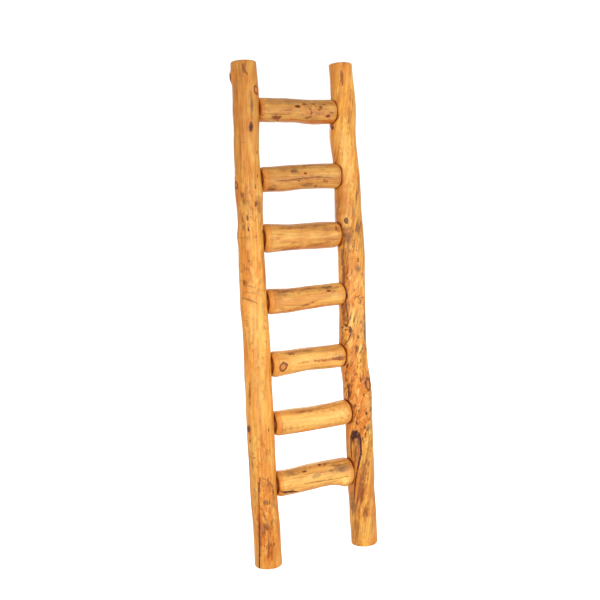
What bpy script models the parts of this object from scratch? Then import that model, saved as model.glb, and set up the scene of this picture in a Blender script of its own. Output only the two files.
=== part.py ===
# A rustic log ladder that quilts and blankets hang on: two peeled-log rails, seven round
# rungs tenoned into them, and a locking screw through each tenon from the back of its rail.
#
# Metres. +Z runs up the rails from their square-cut feet, +X runs along the rungs, and the
# front faces -Y. The origin is on the floor, midway between the axes of the two rails.

import math

import bmesh
import bpy
from mathutils import Matrix, Vector

# Overall sizes
RAIL_LENGTH = 1.830
LEFT_TOP_EXTRA = 0.007  # how much higher than that each rail is sawn off
RIGHT_TOP_EXTRA = 0.016
RAIL_SPACING = 0.404  # from one rail's axis to the other's

# Logs
RAIL_DIAMETER = 0.100
RUNG_DIAMETER = 0.092
RAIL_SWAY = 0.003  # how far a rail wanders to the front and to the back
FOOT_EASE = 0.005  # eased edge of a rail's foot
TOP_EASE = 0.007  # eased edge of a rail's top

# Rungs
RUNG_COUNT = 7
LOWEST_RUNG_HEIGHT = 0.297
TOP_RUNG_DROP = 0.164  # from RAIL_LENGTH down to the top rung's axis
SHOULDER_LENGTH = 0.020  # length over which a rung's end rounds in towards its tenon
SHOULDER_SHARE = 0.30  # how much of the step down to the tenon is left as a flat shoulder
SEAT_REACH = 0.036  # how much of a rung's end the seat in the rail has to clear

# Joints: a round tenon in a blind mortise, and a flat seat cut in the rail for the shoulder
TENON_DIAMETER = 0.050
TENON_LENGTH = 0.050
SEAT_DEPTH = 0.004
SEAT_CLEARANCE = 0.002  # round the rung's end, in the rail's seat
FIT_GAP = 0.0003  # between pieces that touch
MORTISE_END_GAP = 0.0015  # glue room past a tenon's end

# Locking screws: countersunk, with a star drive
SCREW_LENGTH = 0.0635
SCREW_SHANK = 0.0048
SCREW_HEAD = 0.0095
SCREW_HEAD_HEIGHT = 0.0042
SCREW_POINT_LENGTH = 0.007
SCREW_TIP = 0.0008
SCREW_SINK = 0.0015  # head's top below the face of the log
SCREW_FROM_TENON_END = 0.018
DRIVE_OUTER = 0.0046
DRIVE_INNER = 0.0034
DRIVE_DEPTH = 0.0024

# How finely the round pieces are divided
RAIL_SIDES = 20
RAIL_BANDS = 29
RUNG_SIDES = 16
RUNG_BANDS = 8
HOLE_SIDES = 16
SCREW_SIDES = 12
EASE_STEPS = ((0, 1), (0.3, 0.3), (1, 0))  # along a log's end, and in from its side
SHOULDER_STEPS = (0, 0.15, 0.5, 1)  # along a rung's shoulder

# The run of each rail: share of its length from the foot, sideways offset, and girth as a
# share of RAIL_DIAMETER.
LEFT_RAIL_RUN = (
    (0.00, -0.002, 1.01),
    (0.08, -0.002, 1.01),
    (0.15, -0.005, 1.00),
    (0.25, -0.004, 1.02),
    (0.36, -0.003, 1.02),
    (0.45, -0.001, 0.98),
    (0.53, -0.005, 0.99),
    (0.61, -0.005, 0.95),
    (0.70, -0.001, 0.92),
    (0.76, -0.001, 0.99),
    (0.81, -0.002, 0.90),
    (0.85, 0.000, 0.90),
    (0.89, 0.004, 0.95),
    (0.95, 0.008, 0.93),
    (1.00, 0.005, 0.91),
)
RIGHT_RAIL_RUN = (
    (0.00, 0.004, 1.04),
    (0.06, 0.004, 1.03),
    (0.13, 0.002, 1.05),
    (0.20, 0.002, 1.05),
    (0.27, 0.004, 1.07),
    (0.33, 0.001, 1.11),
    (0.38, -0.006, 1.07),
    (0.45, -0.010, 1.06),
    (0.51, -0.006, 1.01),
    (0.61, 0.002, 1.03),
    (0.70, -0.003, 1.04),
    (0.76, 0.000, 0.99),
    (0.82, -0.006, 0.97),
    (0.88, -0.010, 0.99),
    (0.91, -0.003, 0.96),
    (0.95, -0.001, 0.90),
    (1.00, -0.005, 0.87),
)

# Each rung, from the lowest up: its lift off the even spacing, how much deeper than
# SEAT_DEPTH its left and right seats are, then five sections from left to right, each with
# the lift of its centre and its girth as a share of RUNG_DIAMETER.
RUNG_RUNS = (
    (
        (0.000, -0.001, -0.002),
        ((0.001, 1.05), (0.002, 1.03), (0.005, 1.05), (0.006, 1.04), (-0.001, 1.17)),
    ),
    (
        (-0.002, -0.002, 0.002),
        ((0.002, 1.01), (0.001, 1.02), (0.001, 1.00), (0.002, 1.01), (0.005, 1.06)),
    ),
    (
        (-0.009, -0.001, 0.000),
        ((0.001, 1.05), (0.003, 0.96), (0.006, 0.94), (0.005, 0.94), (0.005, 0.97)),
    ),
    (
        (-0.003, -0.002, 0.004),
        ((-0.001, 1.05), (-0.003, 0.98), (0.001, 0.95), (0.004, 0.92), (0.006, 0.92)),
    ),
    (
        (-0.001, -0.001, -0.003),
        ((0.000, 1.14), (-0.001, 1.06), (0.000, 1.04), (0.001, 1.06), (0.002, 1.06)),
    ),
    (
        (-0.013, -0.001, 0.004),
        ((-0.004, 0.99), (-0.002, 1.01), (0.003, 1.00), (0.005, 1.00), (0.004, 1.02)),
    ),
    (
        (0.000, 0.001, 0.000),
        ((0.004, 0.92), (0.003, 0.94), (0.003, 0.92), (-0.001, 0.97), (0.001, 0.97)),
    ),
)
SECTION_SHARES = (0.08, 0.28, 0.50, 0.72, 0.92)

UP = Vector((0, 0, 1))
ALONG = Vector((1, 0, 0))
INTO_BACK = Vector((0, -1, 0))


def clear_scene():
    for old in list(bpy.data.objects):
        bpy.data.objects.remove(old, do_unlink=True)


def principled(name, colour, roughness, metallic):
    material = bpy.data.materials.new(name)
    material.use_nodes = True
    shader = material.node_tree.nodes["Principled BSDF"]
    shader.inputs["Base Color"].default_value = (*colour, 1)
    shader.inputs["Roughness"].default_value = roughness
    shader.inputs["Metallic"].default_value = metallic
    return material


def through(stations, at):
    """The smooth curve through (place, value) stations, read at one place."""
    places = [place for place, value in stations]
    values = [value for place, value in stations]
    slopes = []
    for i in range(len(stations)):
        before = max(i - 1, 0)
        after = min(i + 1, len(stations) - 1)
        slopes.append((values[after] - values[before]) / (places[after] - places[before]))
    at = min(max(at, places[0]), places[-1])
    i = max(k for k in range(len(places) - 1) if places[k] <= at)
    span = places[i + 1] - places[i]
    t = (at - places[i]) / span
    return (
        values[i] * (1 + 2 * t) * (1 - t) ** 2
        + slopes[i] * span * t * (1 - t) ** 2
        + values[i + 1] * t**2 * (3 - 2 * t)
        + slopes[i + 1] * span * t**2 * (t - 1)
    )


class Rail:
    """One rail's side (-1 left, +1 right) and the curve and girth of its log."""

    def __init__(self, side, run, sway_start, top_extra):
        self.side = side
        self.length = RAIL_LENGTH + top_extra
        self.inward = -side
        self.offsets = [(share, offset) for share, offset, girth in run]
        self.girths = [(share, girth) for share, offset, girth in run]
        self.sway_start = sway_start

    def centre(self, height):
        share = height / RAIL_LENGTH
        sway = RAIL_SWAY * math.sin(math.tau * share + self.sway_start)
        x = self.side * RAIL_SPACING / 2 + through(self.offsets, share)
        return Vector((x, sway, height))

    def radius(self, height):
        return RAIL_DIAMETER / 2 * through(self.girths, height / RAIL_LENGTH)

    def seat(self, height, depth):
        """X of a flat seat that is cut this deep for a rung at this height."""
        return self.centre(height).x + self.inward * (self.radius(height) - depth)

    def back(self, x, height):
        """Y of the log's back at this X and height."""
        centre = self.centre(height)
        return centre.y + math.sqrt(self.radius(height) ** 2 - (x - centre.x) ** 2)


class Rung:
    """One rung: where its axis runs, and how thick it is, between its two rails."""

    def __init__(self, number, places, sections, left, right):
        lift, left_extra, right_extra = places
        reach = RAIL_LENGTH - TOP_RUNG_DROP - LOWEST_RUNG_HEIGHT
        self.height = LOWEST_RUNG_HEIGHT + reach * number / (RUNG_COUNT - 1) + lift
        self.name = f"rung_{number + 1}"
        self.lifts = [(at, rise) for at, (rise, girth) in zip(SECTION_SHARES, sections)]
        self.girths = [(at, girth) for at, (rise, girth) in zip(SECTION_SHARES, sections)]
        self.rails = (left, right)
        self.ends = (self.end_height(0), self.end_height(1))
        self.seats = (
            left.seat(self.ends[0], SEAT_DEPTH + left_extra),
            right.seat(self.ends[1], SEAT_DEPTH + right_extra),
        )

    def end_height(self, share):
        return self.height + through(self.lifts, share)

    def length(self):
        return self.seats[1] - self.seats[0] - 2 * FIT_GAP

    def centre(self, share):
        x = self.seats[0] + FIT_GAP + share * self.length()
        return Vector((x, 0, self.end_height(share)))

    def log_radius(self, share):
        return RUNG_DIAMETER / 2 * through(self.girths, share)

    def radius(self, share):
        """The log's radius, rounded in over its last SHOULDER_LENGTH at each end."""
        full = self.log_radius(share)
        inset = min(share, 1 - share) * self.length() / SHOULDER_LENGTH
        if inset >= 1:
            return full
        drop = (1 - SHOULDER_SHARE) * (full - TENON_DIAMETER / 2)
        return full - drop * (1 - math.sqrt(1 - (1 - inset) ** 2))

    def seat_radius(self, end):
        """Radius of the seat that clears this end (0 left, 1 right) of the rung."""
        reach = SEAT_REACH / self.length()
        shares = [abs(end - reach * part) for part in (0, 0.33, 0.66, 1)]
        return max(self.log_radius(share) for share in shares) + SEAT_CLEARANCE


def lofted(name, axis, rings, sides):
    """A closed mesh through round sections, each (centre, radius), square to one axis."""
    bm = bmesh.new()
    turn = UP.rotation_difference(axis).to_matrix().to_4x4()
    centre, radius = rings[0]
    place = Matrix.Translation(centre) @ turn
    bmesh.ops.create_circle(bm, cap_ends=True, segments=sides, radius=radius, matrix=place)
    rim = list(bm.edges)
    for next_centre, next_radius in rings[1:]:
        grown = bmesh.ops.extrude_edge_only(bm, edges=rim)["geom"]
        corners = [item for item in grown if isinstance(item, bmesh.types.BMVert)]
        rim = [
            item
            for item in grown
            if isinstance(item, bmesh.types.BMEdge) and all(v in corners for v in item.verts)
        ]
        step = Matrix.Translation(next_centre)
        step = step @ Matrix.Scale(next_radius / radius, 4)
        step = step @ Matrix.Translation(-centre)
        bmesh.ops.transform(bm, matrix=step, verts=corners)
        centre, radius = next_centre, next_radius
    bmesh.ops.contextual_create(bm, geom=rim)
    bmesh.ops.recalc_face_normals(bm, faces=bm.faces)
    return finished_mesh(name, bm)


def finished_mesh(name, bm):
    mesh = bpy.data.meshes.new(name)
    bm.to_mesh(mesh)
    bm.free()
    mesh.shade_smooth()
    mesh.set_sharp_from_angle(angle=math.radians(40))
    return mesh


def add_object(name, mesh, material, parent, location=(0, 0, 0)):
    made = bpy.data.objects.new(name, mesh)
    if material is not None and not mesh.materials:
        mesh.materials.append(material)
    made.location = location
    made.parent = parent
    bpy.context.scene.collection.objects.link(made)
    return made


def cut(target, cutter):
    modifier = target.modifiers.new(cutter.name, "BOOLEAN")
    modifier.operation = "DIFFERENCE"
    modifier.solver = "EXACT"
    modifier.object = cutter


def add_cutter(name, meshes, parent):
    """One hidden object that holds several separate cutting shapes."""
    bm = bmesh.new()
    for mesh in meshes:
        bm.from_mesh(mesh)
        bpy.data.meshes.remove(mesh)
    cutter = add_object(name, finished_mesh(name, bm), None, parent)
    cutter.hide_render = True
    cutter.display_type = "WIRE"
    return cutter


def rail_mesh(name, rail):
    """The log from its foot up, eased round the edge at both ends."""
    rings = []
    for rise, pinch in EASE_STEPS:
        height = rise * FOOT_EASE
        rings.append((rail.centre(height), rail.radius(height) - pinch * FOOT_EASE))
    for band in range(1, RAIL_BANDS):
        height = rail.length * band / RAIL_BANDS
        rings.append((rail.centre(height), rail.radius(height)))
    for rise, pinch in reversed(EASE_STEPS):
        height = rail.length - rise * TOP_EASE
        rings.append((rail.centre(height), rail.radius(height) - pinch * TOP_EASE))
    return lofted(name, UP, rings, RAIL_SIDES)


def rung_mesh(rung):
    """The left tenon, the log with its rounded shoulders, and the right tenon."""
    tenon = TENON_DIAMETER / 2
    left, right = rung.centre(0), rung.centre(1)
    shoulder = SHOULDER_LENGTH / rung.length()
    near_left = [step * shoulder for step in SHOULDER_STEPS]
    middle = [shoulder + (1 - 2 * shoulder) * k / RUNG_BANDS for k in range(1, RUNG_BANDS)]
    near_right = [1 - share for share in reversed(near_left)]
    rings = [(left - ALONG * TENON_LENGTH, tenon), (left, tenon)]
    for share in near_left + middle + near_right:
        rings.append((rung.centre(share), rung.radius(share)))
    rings += [(right, tenon), (right + ALONG * TENON_LENGTH, tenon)]
    return lofted(rung.name, ALONG, rings, RUNG_SIDES)


def mortise_mesh(rail, rung, end):
    """What is cut from a rail for one rung: the seat, and the hole for the tenon."""
    inward = ALONG * rail.inward
    mouth = Vector((rung.seats[end], 0, rung.ends[end]))
    hole = TENON_DIAMETER / 2 + FIT_GAP
    seat = rung.seat_radius(end)
    floor = mouth - inward * (TENON_LENGTH + MORTISE_END_GAP)
    clear_of_rail = mouth + inward * RAIL_DIAMETER / 2
    rings = [(floor, hole), (mouth, hole), (mouth, seat), (clear_of_rail, seat)]
    return lofted("mortise", inward, rings, HOLE_SIDES)


def screw_place(rail, rung, end):
    """Centre of the screw head's top, on the rail's back behind the tenon."""
    from_seat = TENON_LENGTH - SCREW_FROM_TENON_END
    x = rung.seats[end] - rail.inward * from_seat
    height = rung.ends[end]
    return Vector((x, rail.back(x, height) - SCREW_SINK, height))


def screw_hole_mesh(place):
    """A countersunk hole along -Y, open at the log's back and clear of the screw."""
    shank = SCREW_SHANK / 2 + FIT_GAP
    head = SCREW_HEAD / 2 + FIT_GAP
    rings = [
        (place - INTO_BACK * RAIL_DIAMETER / 4, head),
        (place + INTO_BACK * FIT_GAP, head),
        (place + INTO_BACK * (SCREW_HEAD_HEIGHT + FIT_GAP), shank),
        (place + INTO_BACK * (SCREW_LENGTH + FIT_GAP), shank),
    ]
    return lofted("screw_hole", INTO_BACK, rings, SCREW_SIDES)


def screw_mesh():
    """A countersunk wood screw that points along -Y, with a star recess in its head."""
    bm = bmesh.new()
    sections = (
        (0, SCREW_HEAD / 2),
        (SCREW_HEAD_HEIGHT, SCREW_SHANK / 2),
        (SCREW_LENGTH - SCREW_POINT_LENGTH, SCREW_SHANK / 2),
        (SCREW_LENGTH, SCREW_TIP / 2),
    )
    rings = [(INTO_BACK * depth, radius) for depth, radius in sections]
    body = lofted("screw_body", INTO_BACK, rings, SCREW_SIDES)
    bm.from_mesh(body)
    bpy.data.meshes.remove(body)
    top = max(bm.faces, key=lambda face: face.calc_center_median().y)
    bmesh.ops.inset_individual(bm, faces=[top], thickness=(SCREW_HEAD - DRIVE_OUTER) / 2)
    for number, loop in enumerate(top.loops):
        reach = DRIVE_OUTER / 2 if number % 2 else DRIVE_INNER / 2
        loop.vert.co = loop.vert.co.normalized() * reach
    floor = bmesh.ops.extrude_discrete_faces(bm, faces=[top])["faces"][0]
    bmesh.ops.translate(bm, vec=INTO_BACK * DRIVE_DEPTH, verts=floor.verts)
    return finished_mesh("locking_screw", bm)


def main():
    clear_scene()
    left_wood = principled("left_rail_wood", (0.66, 0.33, 0.09), 0.33, 0)
    right_wood = principled("right_rail_wood", (0.60, 0.27, 0.07), 0.33, 0)
    rung_wood = principled("rung_wood", (0.64, 0.34, 0.11), 0.33, 0)
    screw_steel = principled("screw_steel", (0.62, 0.52, 0.30), 0.32, 1)

    ladder = bpy.data.objects.new("log_ladder", None)
    bpy.context.scene.collection.objects.link(ladder)

    left = Rail(-1, LEFT_RAIL_RUN, 0, LEFT_TOP_EXTRA)
    right = Rail(1, RIGHT_RAIL_RUN, math.pi / 2, RIGHT_TOP_EXTRA)
    rungs = [
        Rung(number, places, sections, left, right)
        for number, (places, sections) in enumerate(RUNG_RUNS)
    ]

    screw = screw_mesh()
    hole_cutters = []
    for end, (side, rail, wood) in enumerate(
        (("left", left, left_wood), ("right", right, right_wood))
    ):
        rail_object = add_object(f"{side}_rail", rail_mesh(side, rail), wood, ladder)
        mortises = [mortise_mesh(rail, rung, end) for rung in rungs]
        cut(rail_object, add_cutter(f"{side}_mortises", mortises, ladder))
        places = [screw_place(rail, rung, end) for rung in rungs]
        holes = [screw_hole_mesh(place) for place in places]
        hole_cutters.append(add_cutter(f"{side}_screw_holes", holes, ladder))
        cut(rail_object, hole_cutters[-1])
        for number, place in enumerate(places):
            add_object(f"{side}_screw_{number + 1}", screw, screw_steel, ladder, place)

    for rung in rungs:
        rung_object = add_object(rung.name, rung_mesh(rung), rung_wood, ladder)
        for cutter in hole_cutters:
            cut(rung_object, cutter)


main()
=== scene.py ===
import math

import bmesh
import bpy
import numpy as np
from mathutils import Euler, Matrix, Vector


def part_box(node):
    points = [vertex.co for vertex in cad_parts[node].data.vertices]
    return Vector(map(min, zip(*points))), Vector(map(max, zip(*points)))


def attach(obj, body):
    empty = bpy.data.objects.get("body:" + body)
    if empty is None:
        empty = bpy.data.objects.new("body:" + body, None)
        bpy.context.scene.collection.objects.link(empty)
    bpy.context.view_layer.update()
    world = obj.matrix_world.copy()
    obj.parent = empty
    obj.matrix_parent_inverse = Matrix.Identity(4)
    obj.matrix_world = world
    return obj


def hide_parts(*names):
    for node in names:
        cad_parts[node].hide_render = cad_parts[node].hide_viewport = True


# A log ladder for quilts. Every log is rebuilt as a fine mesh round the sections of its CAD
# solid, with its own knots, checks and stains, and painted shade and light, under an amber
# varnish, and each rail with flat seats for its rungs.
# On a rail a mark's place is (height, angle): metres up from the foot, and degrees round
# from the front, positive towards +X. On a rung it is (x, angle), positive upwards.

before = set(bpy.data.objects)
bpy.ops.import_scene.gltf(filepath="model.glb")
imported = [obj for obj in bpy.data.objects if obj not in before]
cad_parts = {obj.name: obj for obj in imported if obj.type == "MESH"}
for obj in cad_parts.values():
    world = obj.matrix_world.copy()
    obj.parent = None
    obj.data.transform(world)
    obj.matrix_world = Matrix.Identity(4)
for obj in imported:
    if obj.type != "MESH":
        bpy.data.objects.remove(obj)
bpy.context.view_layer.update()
scene = bpy.context.scene
mm = 0.001
markNames = ("brown", "grey", "red", "pale", "dark", "fleck")

joint = {  # the joinery, with the CAD's sizes
    "tenonLength": 50 * mm,
    "tenonRadius": 25 * mm,
    "tenonChamfer": 1.5 * mm,
    "chamferLength": 2 * mm,
    "shoulderLength": 20 * mm,  # of a CAD rung's rounded end
    "fitGap": 0.3 * mm,
    "endGap": 1.5 * mm,
    "boreSides": 64,
    "seatInset": 7 * mm,  # how far inside the rung's own radius its flat seat ends
    "seatSlope": 0.8,  # steepness of the eased edge round a seat
    "seatShadeAndStain": (1 * mm, 12 * mm),  # painted contact shade and a dark stain round a joint, from full to none, outwards from a seat
    "ringShade": 1.2 * mm,  # the painted shadow line round a rung's end, where it meets the rail
    "tenonShade": (-6 * mm, -1 * mm),  # the same painted shadow line, from none to full, along a tenon
    "screwHead": 4.75 * mm,  # radii
    "screwShank": 2.4 * mm,
    "headHeight": 4.2 * mm,
    "screwLength": 63.5 * mm,
    "headClear": 10 * mm,  # how far the cutter stands out past a screw's head
    "screwSides": 32,
    "cutMerge": 0.02 * mm,  # corners closer than this along a cut are merged
}

railEnds = {  # how the sawn ends are eased
    "foot": 5 * mm,
    "top": 7 * mm,
    "depth": 0.8,  # a share of the easing's own length
    "crown": 0.8 * mm,
}

surface = {  # what all logs share; a pitch is in metres
    "lumpPitch": 0.055,
    "lumpStretch": 0.45,  # below 1 draws the lumps out along the log
    "rippleLift": 0.35 * mm,
    "ripplePitch": 0.012,
    "wanderPitch": 0.016,
    "ovalWander": 0.25,
    "ovalEdge": (0.45, 1.25),  # from full to none, in shares of a stain's size
    "knotWander": 0.10,
    "crackPitches": (0.012, 0.014),
    "crackWander": 0.8 * mm,
    "crackDepth": 1.8 * mm,
    "reach": 3,  # half widths over which a knot or a crack fades out
    "tenonShare": 0.8,  # of the unit radius, where a tenon's own points begin
    "capInset": 0.76,  # of the unit radius, taken up by the rings of an end face
    "sharpAngle": 50,  # degrees
}

reading = {  # how the CAD's corners are sorted into sections
    "sameRing": 0.02 * mm,  # corners this close along a log are one ring
    "fewest": 7,  # a ring with fewer corners belongs to a seat or a hole
    "round": 0.05 * mm,  # how far a corner may be off its circle
    "clear": 4 * mm,  # past a rail's middle, or a tenon's radius
    "margin": 0.5 * mm,
}


def smoothStep(low, high, values):
    t = np.clip((values - low) / (high - low), 0, 1)
    return t * t * (3 - 2 * t)


def smoothThrough(places, values, at):
    # the curve with the mean slope at each station, as the CAD logs have
    slopes = np.gradient(values, places)
    at = np.clip(at, places[0], places[-1])
    i = np.clip(np.searchsorted(places, at, side="right") - 1, 0, len(places) - 2)
    span = places[i + 1] - places[i]
    t = (at - places[i]) / span
    return (
        values[i] * (1 + 2 * t) * (1 - t) ** 2
        + slopes[i] * span * t * (1 - t) ** 2
        + values[i + 1] * t**2 * (3 - 2 * t)
        + slopes[i + 1] * span * t**2 * (t - 1)
    )


def ripple(points, pitch, seed, count=14):
    # a smooth irregular field of about -1 to 1, the same on each run
    draw = np.random.default_rng(seed)
    ways = draw.normal(size=(count, 3))
    ways /= np.linalg.norm(ways, axis=1)[:, None]
    ways *= math.tau / pitch * draw.uniform(0.6, 1.5, count)[:, None]
    waves = np.sin(points @ ways.T + draw.uniform(0, math.tau, count))
    return waves.sum(axis=1) / math.sqrt(count / 2) / 1.6


# the logs' sections, read from the CAD solids
def cadPoints(node):
    points = np.array([v.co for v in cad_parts[node].data.vertices])
    return np.unique(np.round(points, 6), axis=0)


def railSections(node, side):
    # a circle through the outer half of each ring of corners, which no seat cuts
    points = cadPoints(node)
    middle = (points[:, 0].min() + points[:, 0].max()) / 2
    outer = points[(points[:, 0] - middle) * side > reading["clear"]]
    sections = []
    for height in np.unique(np.round(outer[:, 2], 5)):
        ring = outer[np.abs(outer[:, 2] - height) < reading["sameRing"]]
        if len(ring) < reading["fewest"]:
            continue
        system = np.column_stack([2 * ring[:, :2], np.ones(len(ring))])
        fitted = np.linalg.lstsq(system, (ring[:, :2] ** 2).sum(axis=1), rcond=None)[0]
        radius = math.sqrt(fitted[2] + fitted[0] ** 2 + fitted[1] ** 2)
        spread = np.abs(np.hypot(*(ring[:, :2] - fitted[:2]).T) - radius).max()
        if spread < reading["round"]:
            sections.append((height, fitted[0], fitted[1], radius))
    return np.array(sections)


def rungSections(node):
    # its full sections, its seats' X, and the (y, z) of its two tenons
    points = cadPoints(node)
    seats = (
        points[:, 0].min() + joint["tenonLength"],
        points[:, 0].max() - joint["tenonLength"],
    )
    inset = joint["shoulderLength"] - reading["margin"]
    sections = []
    for place in np.unique(np.round(points[:, 0], 5)):
        ring = points[np.abs(points[:, 0] - place) < reading["sameRing"]]
        centre = (ring[:, 1:].min(axis=0) + ring[:, 1:].max(axis=0)) / 2
        radius = np.hypot(*(ring[:, 1:] - centre).T).max()
        whole = seats[0] + inset < place < seats[1] - inset
        if whole and radius > joint["tenonRadius"] + reading["clear"]:
            sections.append((place, centre[0], centre[1], radius))
    tenons = []
    for place in (points[:, 0].min(), points[:, 0].max()):
        ring = points[np.abs(points[:, 0] - place) < reading["sameRing"]]
        tenons.append((ring[:, 1:].min(axis=0) + ring[:, 1:].max(axis=0)) / 2)
    return np.array(sections), seats, tenons


def sectionsAt(sections, places):
    # both coordinates of the centre, and the radius
    return (smoothThrough(sections[:, 0], sections[:, k], places) for k in (1, 2, 3))


# marks on a log's surface
def angleGap(angles, centre):
    return (angles - centre + math.pi) % math.tau - math.pi


def ovalField(spots, along, angle, radius, wander):
    # soft leaning ovals, with edges that wander
    core, rim = surface["ovalEdge"]
    field = np.zeros(len(along))
    for place, turn, halfLength, halfWidth, lean, strength in spots:
        up = along - place
        over = angleGap(angle, math.radians(turn)) * radius
        tilt = math.radians(lean)
        long = (up * math.cos(tilt) + over * math.sin(tilt)) / (halfLength * mm)
        wide = (over * math.cos(tilt) - up * math.sin(tilt)) / (halfWidth * mm)
        away = np.hypot(long, wide) + surface["ovalWander"] * wander
        field = np.maximum(field, strength * (1 - smoothStep(core, rim, away)))
    return field


def crackField(cracks, along, angle, radius, wander):
    # nearness to the middle of each line: 1 on it, and 0 at some half widths. A line that
    # starts at a rail's end tapers from there on, and any other tapers at both its ends.
    railTop = 1.829  # metres up
    stray = wander * surface["crackWander"]
    field = np.zeros(len(along))
    for halfWidth, strength, *line in cracks:
        nearest = np.full(len(along), math.inf)
        line = [(place, math.radians(turn)) for place, turn in line]
        total = len(line) - 1
        openEnd = line[0][0] == 0 or line[0][0] > railTop
        for i in range(total):
            (p0, a0), (p1, a1) = line[i], line[i + 1]
            up = along - p0 + stray[:, 1]
            over = angleGap(angle, a0) * radius + stray[:, 0]
            runUp, runOver = p1 - p0, angleGap(a1, a0) * radius
            t = np.clip((up * runUp + over * runOver) / (runUp**2 + runOver**2), 0, 1)
            away = np.hypot(up - t * runUp, over - t * runOver)
            share = (i + t) / total
            taper = 1 - share if openEnd else np.clip(4 * share * (1 - share), 0, 1)
            fine = 0.4 + 0.6 * np.sqrt(taper)
            nearest = np.minimum(nearest, away / (halfWidth * mm * fine))
        close = np.clip(1 - nearest / surface["reach"], 0, 1)
        field = np.maximum(field, strength * close)
    return field


def knotFields(knots, along, angle, radius, wander):
    # nearness, how pale its heart is, lift of the surface, and the grain's push aside
    near = np.zeros(len(along))
    heart = np.zeros(len(along))
    lift = np.zeros(len(along))
    push = np.zeros(len(along))
    for place, turn, halfWidth, halfLength, rise, pale in knots:
        up = (along - place) / (halfLength * mm)
        over = angleGap(angle, math.radians(turn)) * radius / (halfWidth * mm)
        away = np.hypot(up, over) * (1 + surface["knotWander"] * wander)
        close = np.clip(1 - away / surface["reach"], 0, 1)
        heart = np.where(close > near, pale, heart)
        near = np.maximum(near, close)
        dome = np.exp(-((away / 1.5) ** 2)) - 0.25 * np.exp(-((away / 0.5) ** 2))
        lift += rise * mm * dome
        aside = np.exp(-((away / 1.6) ** 2)) * np.clip(over, -1, 1)
        push += halfWidth * mm * aside
    return near, heart, lift, push


# log meshes
def logGrid(around, along, capRings, tenons):
    # a closed tube of radius 1 and height 1 on Z, with ringed ends. A tenon is a stub past
    # each end, which keeps its true length.
    bm = bmesh.new()
    bmesh.ops.create_cone(
        bm, cap_ends=True, segments=around, radius1=1, radius2=1, depth=1,
        matrix=Matrix.Translation((0, 0, 0.5)),
    )
    upright = [e for e in bm.edges if abs(e.verts[0].co.z - e.verts[1].co.z) > 0.5]
    bmesh.ops.subdivide_edges(bm, edges=upright, cuts=along - 1, use_grid_fill=True)
    for cap in [f for f in bm.faces if len(f.verts) == around]:
        outwards = -1 if cap.calc_center_median().z < 0.5 else 1
        if tenons:
            step = 1 - surface["tenonShare"]
            bmesh.ops.inset_individual(bm, faces=[cap], thickness=step)
            for length in tenons:
                cap = bmesh.ops.extrude_discrete_faces(bm, faces=[cap])["faces"][0]
                bmesh.ops.translate(bm, verts=cap.verts, vec=(0, 0, outwards * length))
        for ring in range(capRings):
            step = surface["capInset"] / capRings
            bmesh.ops.inset_individual(bm, faces=[cap], thickness=step)
        bmesh.ops.poke(bm, faces=[cap])
    bmesh.ops.recalc_face_normals(bm, faces=bm.faces)
    endFace = 0.4999 + sum(tenons)
    for face in bm.faces:
        face.smooth = True
        middle = face.calc_center_median()
        face.material_index = 1 if abs(middle.z - 0.5) > endFace else 0
    return bm


def meshFrom(bm, name):
    mesh = bpy.data.meshes.new(name)
    bm.to_mesh(mesh)
    bm.free()
    return mesh


def readPoints(mesh):
    flat = np.empty(len(mesh.vertices) * 3)
    mesh.vertices.foreach_get("co", flat)
    return flat.reshape(-1, 3)


def writePoints(mesh, points):
    mesh.vertices.foreach_set("co", points.astype(np.float32).ravel())
    mesh.update()
    mesh.set_sharp_from_angle(angle=math.radians(surface["sharpAngle"]))


def writeField(mesh, name, values):
    field = mesh.attributes.new(name, "FLOAT", "POINT")
    field.data.foreach_set("value", values.astype(np.float32))


def markLog(mesh, look, along, angle, radius):
    # writes every mark's field on the mesh, and returns the lift of the surface
    seed = look["seed"]
    ring = np.column_stack([np.cos(angle) * radius, np.sin(angle) * radius, along])
    wander = ripple(ring, surface["wanderPitch"], seed)
    over, up = surface["crackPitches"]
    fine = np.column_stack([ripple(ring, over, seed + 1), ripple(ring, up, seed + 2)])
    for name in markNames:
        spots = look.get(name, [])
        writeField(mesh, name, ovalField(spots, along, angle, radius, wander))
    crack = crackField(look.get("cracks", []), along, angle, radius, fine)
    near, heart, lift, push = knotFields(look.get("knots", []), along, angle, radius, wander)
    writeField(mesh, "crack", crack)
    writeField(mesh, "knot", near)
    writeField(mesh, "heart", heart)
    # the level of painted shade along the log
    writeField(mesh, "paintedShade", np.interp(along, *zip(*look["paintedShade"])))
    shift = mesh.attributes.new("grainShift", "FLOAT_VECTOR", "POINT")
    aside = np.column_stack([np.cos(angle), np.sin(angle), np.zeros(len(angle))])
    shift.data.foreach_set("vector", (-aside * push[:, None]).astype(np.float32).ravel())
    broad = np.column_stack([ring[:, :2], along * surface["lumpStretch"]])
    for place, turn, halfWidth, halfLength, rise in look.get("stubs", []):
        over = angleGap(angle, math.radians(turn)) * radius / (halfWidth * mm)
        lift += rise * mm * np.exp(-(over**2) - ((along - place) / (halfLength * mm)) ** 2)
    lift += look["lump"] * mm * ripple(broad, surface["lumpPitch"], seed + 5)
    finer = ripple(broad * (1, 1, 0.3), surface["ripplePitch"], seed + 6)
    lift += surface["rippleLift"] * finer
    return lift - surface["crackDepth"] * smoothStep(0.45, 0.95, crack)


def spacing(length, rows, ease):
    # places of the rings, close together over the eased ends
    eased = 7
    near = ease * (1 - np.cos(np.linspace(0, math.pi / 2, eased + 1)))
    inner = np.linspace(ease, length - ease, rows + 1 - 2 * eased)
    return np.concatenate([near[:-1], inner, length - near[:-1][::-1]])


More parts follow.
